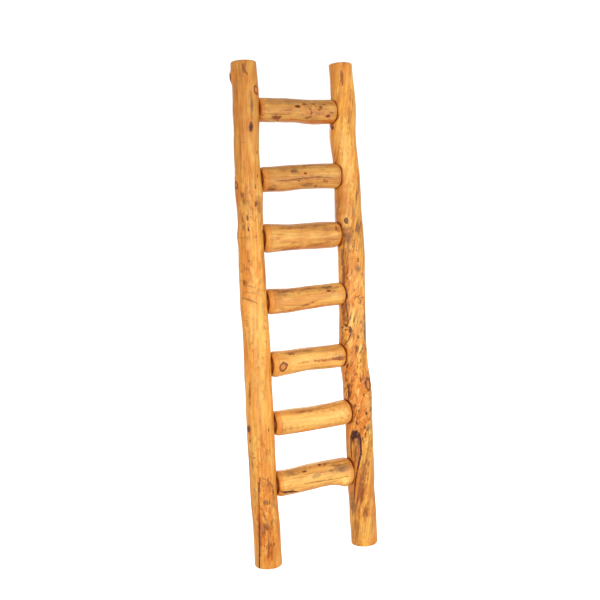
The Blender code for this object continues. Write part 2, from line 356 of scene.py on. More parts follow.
def buildRail(look, seats):
    sections = railSections(look["node"], look["side"])
    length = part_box(look["node"])[1].z
    low = railEnds["foot"] - reading["margin"]
    high = length - railEnds["top"] + reading["margin"]
    whole = sections[(sections[:, 0] > low) & (sections[:, 0] < high)]
    mesh = meshFrom(logGrid(look["around"], look["along"], 12, ()), look["node"] + "_log")
    unit = readPoints(mesh)
    share = np.hypot(unit[:, 0], unit[:, 1])
    angle = np.arctan2(unit[:, 0], -unit[:, 1])
    rows = spacing(length, look["along"], railEnds["top"])
    along = rows[np.rint(unit[:, 2] * look["along"]).astype(int)]
    centreX, centreY, radius = sectionsAt(whole, along)
    lift = markLog(mesh, look, along, angle, radius)
    for name, fromEnd in (("foot", along), ("top", length - along)):
        inside = np.clip(1 - fromEnd / railEnds[name], 0, 1)
        lift -= railEnds[name] * (1 - np.sqrt(1 - inside**2)) * railEnds["depth"]
    reach = (radius + lift) * share
    points = np.column_stack([
        centreX + reach * np.sin(angle), centreY - reach * np.cos(angle), along,
    ])
    # the top is crowned, and the foot is hollow
    points[:, 2] += railEnds["crown"] * (1 - share)
    # painted contact shade and a dark stain round each seat, where a rung meets the rail
    shadeAndStain = np.zeros(len(points))
    for seatX, seatY, seatZ, seatRadius in seats:
        inward = (points[:, 0] - seatX) * -look["side"]
        away = np.hypot(points[:, 1] - seatY, points[:, 2] - seatZ) - seatRadius
        depth = inward - joint["seatSlope"] * np.clip(away, 0, None)
        cut = depth > 0
        points[cut, 0] += (look["side"] * depth)[cut]
        gap = np.hypot(np.clip(away, 0, None), np.clip(-inward, 0, None))
        shadeAndStain = np.maximum(shadeAndStain, 1 - smoothStep(*joint["seatShadeAndStain"], gap))
    writeField(mesh, "seat", shadeAndStain)
    writeField(mesh, "pith", share * radius)
    writePoints(mesh, points)
    return mesh


def buildRung(node, look):
    sections, seats, tenons = rungSections(node)
    length = seats[1] - seats[0] - 2 * joint["fitGap"]
    start = seats[0] + joint["fitGap"]
    stub = joint["tenonLength"]
    shaft = stub - joint["chamferLength"]
    bm = logGrid(look["around"], look["along"], 3, (shaft, joint["chamferLength"]))
    mesh = meshFrom(bm, node + "_log")
    unit = readPoints(mesh)
    share = np.hypot(unit[:, 0], unit[:, 1])
    # the tube's Z becomes X, its -X becomes Z, and its -Y stays the front
    angle = np.arctan2(-unit[:, 0], -unit[:, 1])
    rows = spacing(length, look["along"], joint["shoulderLength"])
    inner = np.clip(unit[:, 2], 0, 1)
    past = unit[:, 2] - inner
    along = start + rows[np.rint(inner * look["along"]).astype(int)] + past
    whole = np.vstack([
        [start, *tenons[0], sections[0, 3]], sections,
        [start + length, *tenons[1], sections[-1, 3]],
    ])
    centreY, centreZ, radius = sectionsAt(whole, along)
    lift = markLog(mesh, look, along, angle, radius)
    shoulder = np.zeros(len(along))
    shadeAndStain = np.zeros(len(along))
    drop = (1 - look["shoulderShare"]) * (radius - joint["tenonRadius"])
    ends = zip(look["shoulders"], (along - start, start + length - along))
    for reach, fromEnd in ends:
        inside = np.clip(1 - fromEnd / (reach * mm), 0, 1)
        lift -= drop * (1 - np.sqrt(1 - inside**2))
        shoulder = np.maximum(shoulder, smoothStep(0.0, 0.12, inside))
        # a painted shadow line round the end, where the rung meets the rail
        ringed = 1 - smoothStep(0, joint["ringShade"], fromEnd)
        shadeAndStain = np.maximum(shadeAndStain, ringed * smoothStep(*joint["tenonShade"], fromEnd))
    writeField(mesh, "seat", shadeAndStain)
    writeField(mesh, "shoulder", shoulder)
    writeField(mesh, "pith", share * radius)
    wide = (radius + lift) * share
    ofTenon = share / surface["tenonShare"]
    chamfer = joint["tenonChamfer"] * smoothStep(shaft, stub, np.abs(past))
    tenonReach = joint["tenonRadius"] * ofTenon - chamfer * (ofTenon > 0.99)
    wide = np.where(ofTenon < 1.01, tenonReach, wide)
    points = np.column_stack([
        along, centreY - wide * np.cos(angle), centreZ + wide * np.sin(angle),
    ])
    writePoints(mesh, points)
    return mesh


# shader nodes
class Tree:
    # a short way to add and join nodes
    def __init__(self, tree):
        self.tree = tree

    def add(self, kind, **values):
        node = self.tree.nodes.new("ShaderNode" + kind)
        for name, value in values.items():
            setattr(node, name, value)
        return node

    def join(self, value, socket):
        if isinstance(value, bpy.types.NodeSocket):
            self.tree.links.new(value, socket)
        else:
            socket.default_value = value

    def maths(self, operation, a, b=0.0, clamp=False):
        node = self.add("Math", operation=operation, use_clamp=clamp)
        self.join(a, node.inputs[0])
        self.join(b, node.inputs[1])
        return node.outputs[0]

    def times(self, a, b, clamp=False):
        return self.maths("MULTIPLY", a, b, clamp)

    def plus(self, a, b, clamp=False):
        return self.maths("ADD", a, b, clamp)

    def minus(self, a, b):
        return self.maths("SUBTRACT", a, b)

    def vector(self, operation, a, b=(0, 0, 0)):
        node = self.add("VectorMath", operation=operation)
        self.join(a, node.inputs[0])
        self.join(b, node.inputs[1])
        return node.outputs[0]

    def step(self, value, low, high, lowTo=0.0, highTo=1.0):
        node = self.add("MapRange", interpolation_type="SMOOTHSTEP")
        for socket, number in zip(node.inputs, (value, low, high, lowTo, highTo)):
            self.join(number, socket)
        return node.outputs[0]

    def noise(self, place, scale, detail=3.0, roughness=0.55, distortion=0.0):
        node = self.add("TexNoise")
        self.join(place, node.inputs["Vector"])
        node.inputs["Scale"].default_value = scale
        node.inputs["Detail"].default_value = detail
        node.inputs["Roughness"].default_value = roughness
        node.inputs["Distortion"].default_value = distortion
        return node.outputs["Fac"]

    def mix(self, amount, a, b, blend="MIX"):
        node = self.add("Mix", data_type="RGBA", blend_type=blend)
        self.join(amount, node.inputs["Factor"])
        self.join(a, node.inputs[6])
        self.join(b, node.inputs[7])
        return node.outputs[2]

    def field(self, name, output="Fac"):
        return self.add("Attribute", attribute_name=name).outputs[output]


def colour(red, green, blue):
    # from display values of 0 to 255 to the linear ones that shaders take
    def linear(value):
        value = value / 255
        return value / 12.92 if value <= 0.04045 else ((value + 0.055) / 1.055) ** 2.4

    return (linear(red), linear(green), linear(blue), 1)


woodTones = {
    "brown": colour(150, 82, 34),
    "grey": colour(140, 96, 56),
    "red": colour(214, 112, 30),
    "pale": colour(255, 208, 112),
    "dark": colour(66, 30, 16),
    "knot": colour(110, 48, 22),
    "heart": colour(210, 128, 52),
    "crack": colour(44, 20, 10),
    "check": colour(118, 58, 26),
    "fleck": colour(108, 52, 24),
    # the colour of the painted contact shade and stain round the joints
    "seat": colour(128, 58, 18),
    "shoulder": colour(222, 136, 48),
    # the grey that painted shade multiplies in
    "paintedShade": (0.71, 0.68, 0.68, 1),
}


woodLayers = {  # squeeze along the log, shift, scale, detail, roughness, distortion
    "broad": (0.22, (0, 0, 0), 13, 3, 0.55, 0.0),
    "medium": (0.07, (0, 0, 0), 48, 5, 0.60, 0.5),
    "fine": (0.02, (0, 0, 0), 260, 3, 0.60, 0.0),
    "mottle": (0.55, (3, 1, 2), 38, 4, 0.60, 0.0),
    "streak": (0.06, (5, 2, 9), 44, 6, 0.62, 0.6),
    "contour": (0.035, (8, 4, 1), 24, 2, 0.50, 0.3),
    "blotch": (0.45, (1, 9, 4), 62, 4, 0.60, 0.8),
    "sun": (0.50, (6, 3, 8), 50, 3, 0.50, 0.6),
    "dash": (0.30, (4, 6, 2), 90, 4, 0.65, 1.2),
    "strands": (0.12, (7, 5, 3), 110, 4, 0.62, 0.8),
}
fleckLayer = {"squeeze": 0.42, "shift": (2, 7, 3), "scale": 90}
endRings = {"perMetre": 2100.0, "wobble": 0.006, "rimFrom": 0.036, "rimTo": 0.048}


def newGroup(name, ins, outs):
    group = bpy.data.node_groups.new(name, "ShaderNodeTree")
    for label, kind in ins:
        group.interface.new_socket(label, in_out="INPUT", socket_type="NodeSocket" + kind)
    for label, kind in outs:
        group.interface.new_socket(label, in_out="OUTPUT", socket_type="NodeSocket" + kind)
    return group


def peeledWoodGroup():
    ins = (
        ("Place", "Vector"), ("Axis", "Vector"), ("Twist", "Float"),
        ("Light", "Color"), ("Deep", "Color"),
        ("Streaks", "Float"), ("Mottle", "Float"), ("Lines", "Float"),
    )
    outs = (("Color", "Color"), ("Roughness", "Float"), ("Height", "Float"))
    group = newGroup("peeledWood", ins, outs)
    t = Tree(group)
    given = group.nodes.new("NodeGroupInput").outputs

    # the grain winds slowly round the log
    split = t.add("SeparateXYZ")
    t.join(given["Place"], split.inputs[0])
    wind = t.times(split.outputs[2], t.times(given["Twist"], -1.0))
    spin = t.add("VectorRotate", rotation_type="Z_AXIS")
    t.join(given["Place"], spin.inputs["Vector"])
    t.join(given["Axis"], spin.inputs["Center"])
    t.join(wind, spin.inputs["Angle"])
    place = t.vector("ADD", spin.outputs[0], t.field("grainShift", "Vector"))

    def stretched(squeeze, shift):
        return t.vector("ADD", t.vector("MULTIPLY", place, (1, 1, squeeze)), shift)

    def layer(name):
        squeeze, shift, *looks = woodLayers[name]
        return t.noise(stretched(squeeze, shift), *looks)

    broad = layer("broad")
    medium = layer("medium")
    fine = layer("fine")
    mottle = layer("mottle")

    tone = t.mix(t.step(medium, 0.40, 0.60), given["Light"], given["Deep"])
    tone = t.mix(t.step(broad, 0.44, 0.70, 0, 0.75), tone, given["Deep"])
    tone = t.mix(t.step(mottle, 0.52, 0.70, 0, 0.45), tone, woodTones["heart"])
    tone = t.mix(t.step(mottle, 0.48, 0.34, 0, 0.30), tone, woodTones["pale"])
    shade = t.step(fine, 0.3, 0.7, 1.10, 0.84)
    tone = t.mix(1.0, tone, t.vector("MULTIPLY", (1, 1, 1), shade), "MULTIPLY")

    # brown cambium left along the grain
    streak = t.step(layer("streak"), 0.54, 0.64)
    amount = t.times(streak, t.step(broad, 0.40, 0.58))
    tone = t.mix(t.times(amount, given["Streaks"]), tone, woodTones["brown"])

    # thin dark lines, where a stretched noise crosses its middle
    line = t.maths("ABSOLUTE", t.minus(layer("contour"), 0.5))
    line = t.step(line, 0.0, 0.014, 1, 0)
    line = t.times(line, t.step(mottle, 0.46, 0.58))
    tone = t.mix(t.times(line, given["Lines"]), tone, woodTones["brown"])

    # mottled bark stain: orange blotches, short leaning dashes and round flecks
    dense = t.plus(t.field("fleck"), given["Mottle"], clamp=True)
    blotch = t.times(t.step(layer("blotch"), 0.48, 0.60), dense)
    tone = t.mix(t.times(blotch, 0.80), tone, woodTones["red"])
    sun = t.times(t.step(layer("sun"), 0.53, 0.63), dense)
    tone = t.mix(t.times(sun, 0.75), tone, woodTones["pale"])
    dash = t.times(t.step(layer("dash"), 0.535, 0.600), dense)
    tone = t.mix(t.times(dash, 0.95), tone, woodTones["fleck"])
    spots = t.add("TexVoronoi", feature="F1")
    t.join(stretched(fleckLayer["squeeze"], fleckLayer["shift"]), spots.inputs["Vector"])
    spots.inputs["Scale"].default_value = fleckLayer["scale"]
    chosen = t.add("SeparateColor")
    t.join(spots.outputs["Color"], chosen.inputs[0])
    size = t.times(chosen.outputs[1], 0.42)
    spot = t.step(t.minus(size, spots.outputs["Distance"]), -0.04, 0.08)
    limit = t.minus(1.0, t.times(dense, 0.50))
    keep = t.step(t.minus(chosen.outputs[0], limit), 0, 0.05)
    spot = t.times(spot, keep)
    tone = t.mix(spot, tone, woodTones["fleck"])

    # listed stains, and the painted shade and light among them, broken up along the grain
    strands = layer("strands")
    breakUp = t.step(strands, 0.40, 0.60, 0.35, 1.30)
    breakUp = t.plus(breakUp, t.step(mottle, 0.38, 0.62, -0.15, 0.35))
    for name in ("pale", "red", "brown", "grey"):
        amount = t.times(t.field(name), breakUp, clamp=True)
        tone = t.mix(amount, tone, woodTones[name])
    # painted shade: each log darkened towards grey by its listed level along its length
    paintedShade = t.mix(t.field("paintedShade"), (1, 1, 1, 1), woodTones["paintedShade"])
    tone = t.mix(1.0, tone, paintedShade, "MULTIPLY")

    # knots: a dark ring round a darker or paler heart, and a warm halo
    away = t.minus(1.0, t.field("knot"))
    away = t.times(away, float(surface["reach"]))
    away = t.plus(away, t.times(t.minus(mottle, 0.5), 0.5))
    halo = t.times(t.step(away, 1.1, 1.4), t.step(away, 1.6, 2.3, 1, 0))
    tone = t.mix(t.times(halo, 0.45), tone, woodTones["heart"])
    rings = t.maths("SINE", t.times(away, 18.0))
    body = t.mix(t.step(rings, 0.0, 0.95, 0, 0.35), woodTones["knot"], woodTones["heart"])
    tone = t.mix(t.step(away, 0.90, 1.2, 0.95, 0), tone, body)
    heart = t.times(t.step(away, 0.40, 0.70, 1, 0), t.field("heart"))
    tone = t.mix(heart, tone, woodTones["heart"])
    solid = t.times(t.step(away, 0.50, 0.95, 1, 0), 0.75)
    solid = t.times(solid, t.minus(1.0, t.field("heart")), clamp=True)
    tone = t.mix(solid, tone, woodTones["dark"])

    # the shoulders' cut faces, the painted shade and stain round the joints, black stains and
    # checks
    shoulder = t.field("shoulder")
    tone = t.mix(t.times(shoulder, 0.45), tone, woodTones["shoulder"])
    edge = t.times(t.step(shoulder, 0.0, 0.3), t.step(shoulder, 0.3, 0.9, 1, 0))
    edge = t.times(edge, t.step(mottle, 0.35, 0.65, 0.25, 0.6))
    tone = t.mix(edge, tone, woodTones["brown"])
    # painted contact shade round each joint, partly a dark stain
    tone = t.mix(t.step(t.field("seat"), 0.05, 0.95, 0, 0.92), tone, woodTones["seat"])
    dark = t.times(t.field("dark"), t.step(mottle, 0.3, 0.6, 0.8, 1.3), clamp=True)
    tone = t.mix(dark, tone, woodTones["dark"])
    crack = t.field("crack")
    tone = t.mix(t.step(crack, 0.03, 0.40, 0, 0.85), tone, woodTones["check"])
    tone = t.mix(t.step(crack, 0.40, 0.85, 0, 1), tone, woodTones["crack"])

    rough = t.step(medium, 0.3, 0.7, 0.36, 0.48)
    rough = t.plus(rough, t.times(dark, 0.12))
    height = t.times(fine, 0.25)
    height = t.plus(height, t.times(medium, 0.7))
    height = t.plus(height, t.times(mottle, 0.35))
    height = t.minus(height, t.times(spot, 0.35))
    height = t.minus(height, t.times(dash, 0.25))
    height = t.minus(height, t.times(t.step(crack, 0.2, 0.9), 1.4))
    height = t.plus(height, t.step(away, 0.7, 1.3, 0, 0.6))

    out = group.nodes.new("NodeGroupOutput").inputs
    t.join(tone, out["Color"])
    t.join(rough, out["Roughness"])
    t.join(height, out["Height"])
    return group


def endGrainGroup():
    ins = (("Place", "Vector"), ("Light", "Color"), ("Deep", "Color"))
    outs = (("Color", "Color"), ("Height", "Float"))
    group = newGroup("endGrain", ins, outs)
    t = Tree(group)
    given = group.nodes.new("NodeGroupInput").outputs
    wobble = t.noise(given["Place"], 30, 3)
    wobble = t.times(wobble, endRings["wobble"])
    pith = t.plus(t.field("pith"), wobble)
    rings = t.maths("SINE", t.times(pith, endRings["perMetre"]))
    tone = t.mix(t.step(rings, -0.4, 1.0), given["Light"], given["Deep"])
    blotch = t.noise(given["Place"], 55, 4)
    tone = t.mix(t.step(blotch, 0.5, 0.72, 0, 0.5), tone, woodTones["brown"])
    rim = t.step(t.field("pith"), endRings["rimFrom"], endRings["rimTo"], 0, 0.5)
    tone = t.mix(rim, tone, woodTones["brown"])
    out = group.nodes.new("NodeGroupOutput").inputs
    t.join(tone, out["Color"])
    t.join(t.plus(rings, blotch), out["Height"])
    return group


varnish = {
    "sheen": 0.22,
    "coat": 0.15,
    "coatRoughness": 0.25,
    "relief": 0.6,
    "reliefDepth": 1.2 * mm,
    "endRoughness": 0.5,
}


def varnished(name, group, turned, values):
    material = bpy.data.materials.new(name)
    material.use_nodes = True
    t = Tree(material.node_tree)
    shader = material.node_tree.nodes["Principled BSDF"]
    mapping = t.add("Mapping")
    mapping.inputs["Rotation"].default_value = (0, math.pi / 2 if turned else 0, 0)
    t.join(t.add("TexCoord").outputs["Object"], mapping.inputs["Vector"])
    wood = t.add("Group", node_tree=group)
    t.join(mapping.outputs[0], wood.inputs["Place"])
    for label, value in values.items():
        if label in wood.inputs:
            wood.inputs[label].default_value = value
    t.join(wood.outputs["Color"], shader.inputs["Base Color"])
    if "Roughness" in wood.outputs:
        t.join(wood.outputs["Roughness"], shader.inputs["Roughness"])
    else:
        shader.inputs["Roughness"].default_value = varnish["endRoughness"]
    relief = t.add("Bump")
    relief.inputs["Strength"].default_value = varnish["relief"]
    relief.inputs["Distance"].default_value = varnish["reliefDepth"]
    t.join(wood.outputs["Height"], relief.inputs["Height"])
    t.join(relief.outputs[0], shader.inputs["Normal"])
    shader.inputs["Specular IOR Level"].default_value = varnish["sheen"]
    shader.inputs["Coat Weight"].default_value = varnish["coat"]
    shader.inputs["Coat Roughness"].default_value = varnish["coatRoughness"]
    return material


zincLook = {
    "bright": colour(214, 186, 112),
    "dull": colour(178, 160, 120),
    "cloudScale": 380,
    "roughness": (0.26, 0.42),
}


def zincMaterial():
    material = bpy.data.materials.new("yellowZinc")
    material.use_nodes = True
    t = Tree(material.node_tree)
    shader = material.node_tree.nodes["Principled BSDF"]
    place = t.add("TexCoord").outputs["Object"]
    cloud = t.noise(place, zincLook["cloudScale"], 3)
    tone = t.mix(t.step(cloud, 0.35, 0.7), zincLook["bright"], zincLook["dull"])
    t.join(tone, shader.inputs["Base Color"])
    t.join(t.step(cloud, 0.3, 0.7, *zincLook["roughness"]), shader.inputs["Roughness"])
    shader.inputs["Metallic"].default_value = 1.0
    return material


peeled = peeledWoodGroup()
endGrain = endGrainGroup()
print("materials ready")


def addPiece(look, mesh, node):
    piece = bpy.data.objects.new(node + "_log", mesh)
    scene.collection.objects.link(piece)
    turned = look["slot"] == "rung_wood"
    for name, group in (("face", peeled), ("end", endGrain)):
        label = f"{look['slot']}_{name}"
        made = bpy.data.materials.get(label) or varnished(label, group, turned, look["wood"])
        mesh.materials.append(made)
    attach(piece, "root")
    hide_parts(node)
    return piece


rungBase = {
    "slot": "rung_wood",
    "around": 144,
    "along": 136,
    "lump": 0.7,
    "shoulders": (20, 20),  # mm over which the left and right ends round in
    "shoulderShare": 0.30,  # what is left, past the tenon, of the step down to it
    "paintedShade": [(0, 0.0)],
    "wood": {
        "Light": colour(243, 184, 92),
        "Deep": colour(228, 155, 74),
        "Twist": 0.0,
        "Streaks": 0.45,
        "Mottle": 0.0,
        "Lines": 0.5,
    },
}

# on every rung the long bands that run most of its length at one angle paint its shading: the grey,
# brown and red ones along its top and underside are painted shade, and the pale ones along its
# front painted light
rungs = {
    "rung_7": {
        "seed": 100,
        # painted shade over the whole rung, heavier on the upper rungs
        "paintedShade": [(0, 0.95)],
        "shoulders": (15, 15),
        "knots": [(-0.010, 13, 5, 11, 0.6, 0.0), (0.112, -27, 6, 9, 0.6, 0.2)],
        "cracks": [(0.9, 0.5, (0.032, 14), (0.040, 0), (0.044, -22))],
        "brown": [
            (0.040, 6, 5, 5, 0, 0.7), (0.044, -16, 6, 9, 0, 0.8), (0.080, 12, 9, 7, 0, 0.8),
            (0.074, 3, 6, 5, 0, 0.6), (0.062, 20, 9, 5, 0, 0.6), (0.016, 28, 12, 6, 0, 0.6),
            (-0.092, -48, 20, 14, 0, 0.9), (0.020, -36, 30, 9, 0, 0.7),
            (-0.020, 12, 14, 5, 0, 0.5), (0.126, -12, 8, 6, 0, 0.5),
            (-0.148, -14, 8, 34, 0, 0.9),
        ],
        "red": [
            (0.100, -62, 60, 14, 0, 0.9), (-0.148, 5, 9, 26, 0, 0.8), (-0.020, -62, 60, 12, 0, 0.6),
        ],
        "grey": [(-0.040, 40, 120, 16, 0, 0.35), (0.090, 34, 60, 12, 0, 0.30)],
        "fleck": [(0.060, 5, 70, 30, 0, 0.40)],
    },
    "rung_6": {
        "seed": 110,
        "paintedShade": [(0, 0.90)],
        "shoulders": (18, 12),
        "knots": [(0.005, 11, 4, 6, 0.4, 0.0)],
        "cracks": [
            (0.9, 0.65, (-0.112, -12), (-0.060, -11), (-0.010, -9), (0.050, -9), (0.120, -11)),
            (0.7, 0.45, (-0.080, -18), (-0.020, -16), (0.030, -15)),
        ],
        "brown": [
            (-0.128, -50, 22, 18, 0, 0.9), (0.085, -22, 5, 12, 0, 0.6), (0.094, -28, 5, 9, 0, 0.6),
            (0.055, -58, 8, 12, 0, 0.6), (0.062, 54, 60, 5, 0, 0.7), (-0.100, 52, 60, 6, 0, 0.5),
            (-0.150, -20, 8, 30, 0, 0.6),
        ],
        "grey": [
            (-0.036, 28, 16, 11, 0, 0.8), (0.018, -44, 26, 11, 0, 0.8), (0.0, 44, 130, 10, 0, 0.3),
        ],
        "red": [(-0.040, -64, 100, 12, 0, 0.6)],
        "fleck": [(0.040, -10, 90, 26, 0, 0.25)],
    },
    "rung_5": {
        "seed": 120,
        "paintedShade": [(0, 0.50)],
        "shoulders": (20, 24),
        "brown": [
            (0.128, 24, 13, 12, 0, 0.8), (-0.060, -60, 50, 9, 8, 0.5), (0.060, -40, 60, 8, 8, 0.4),
        ],
        "grey": [(0.0, 48, 110, 16, 0, 0.45), (0.070, 26, 40, 10, 0, 0.3)],
        "red": [(-0.110, 6, 30, 9, 0, 0.5), (0.0, -62, 130, 14, 0, 0.5)],
    },
    "rung_4": {
        "seed": 130,
        "paintedShade": [(0, 0.35)],
        "shoulders": (20, 13),
        "knots": [(0.082, 25, 4, 8, 0.5, 0.1)],
        "cracks": [(0.8, 0.35, (-0.110, -15), (-0.060, -22), (-0.010, -32), (0.010, -36))],
        "brown": [
            (0.092, 24, 22, 6, -6, 0.7), (0.100, 36, 44, 10, 0, 0.5), (-0.020, -32, 60, 5, 14, 0.5),
            (-0.040, 56, 100, 9, 0, 0.5),
        ],
        "grey": [
            (-0.100, 38, 50, 16, 0, 0.5), (0.080, 52, 26, 8, 0, 0.8), (0.000, 48, 120, 10, 0, 0.3),
        ],
        "red": [(0.000, -58, 130, 14, 0, 0.5), (0.110, 16, 36, 9, 0, 0.5)],
    },
    "rung_3": {
        "seed": 140,
        "paintedShade": [(0, 0.10)],
        "shoulders": (18, 18),
        "knots": [(-0.123, -8, 17, 18, 2.0, 1.0)],
        "brown": [
            (0.060, -4, 90, 4, 0, 0.85), (0.092, -5, 66, 7, 2, 1.00),
            (0.125, -5, 32, 9, 0, 1.00),
            (-0.080, 50, 20, 6, 0, 0.8), (0.000, -54, 120, 10, 0, 0.3), (-0.040, 58, 90, 8, 0, 0.4),
        ],
        "red": [(0.080, -6, 90, 8, 0, 0.70), (-0.040, -5, 30, 4, 0, 0.6)],
        "grey": [(0.000, 52, 130, 14, 0, 0.3)],
        "pale": [(0.030, 16, 100, 12, 0, 0.4), (0.000, 4, 170, 30, 0, 0.40)],
    },
    "rung_2": {
        "seed": 150,
        "paintedShade": [(0, 0.0)],
        "shoulders": (17, 24),
        "brown": [(-0.025, 49, 78, 4, 0, 0.9), (0.000, 60, 120, 10, 0, 0.35)],
        "red": [(0.000, -54, 130, 12, 0, 0.5), (-0.146, 0, 10, 50, 0, 0.4)],
        "pale": [
            (0.020, 0, 110, 22, 0, 0.5), (0.000, 4, 180, 34, 0, 0.45), (0.124, -12, 14, 10, 0, 0.5),
        ],
    },
    "rung_1": {
        "seed": 160,
        "paintedShade": [(0, 0.12)],
        "shoulders": (15, 18),
        "knots": [(0.016, 64, 6, 8, 1.0, 0.2), (-0.053, 48, 4, 8, 0.8, 0.1)],
        "stubs": [(0.112, -50, 15, 16, 9.0)],
        "cracks": [
            (2.2, 1.00, (-0.158, -24), (-0.140, -29), (-0.112, -36), (-0.086, -44)),
            (0.8, 0.50, (-0.064, -7), (0.000, -11), (0.060, -18), (0.120, -4)),
            (0.7, 0.40, (-0.020, -14), (0.060, -14)),
        ],
        "brown": [
            (-0.130, -32, 26, 6, 12, 0.9), (-0.120, 44, 36, 5, 0, 0.6), (0.080, 62, 70, 10, 0, 0.4),
            (-0.060, 66, 60, 12, 0, 0.5),
        ],
        "grey": [
            (0.100, 34, 60, 20, 0, 0.6), (0.056, 24, 16, 10, 0, 0.6), (-0.010, 14, 18, 9, 0, 0.4),
            (0.036, 62, 10, 9, 0, 0.9), (-0.110, 54, 50, 12, 0, 0.4),
        ],
        "pale": [
            (0.108, -22, 17, 15, 0, 1.0), (0.000, -24, 120, 9, 0, 0.3),
            (0.000, 0, 160, 26, 0, 0.25),
        ],
        "red": [(0.0, -62, 120, 12, 0, 0.45), (0.116, -66, 18, 9, 0, 0.8)],
    },
}

seats = {"left": [], "right": []}
for node, marks in rungs.items():
    look = rungBase | marks
    sections, places, tenons = rungSections(node)
    for end, side in enumerate(("left", "right")):
        near = sections[:3, 3] if end == 0 else sections[-3:, 3]
        seats[side].append((places[end], *tenons[end], near.max() - joint["seatInset"]))
    addPiece(look, buildRung(node, look), node)
print("rungs ready")

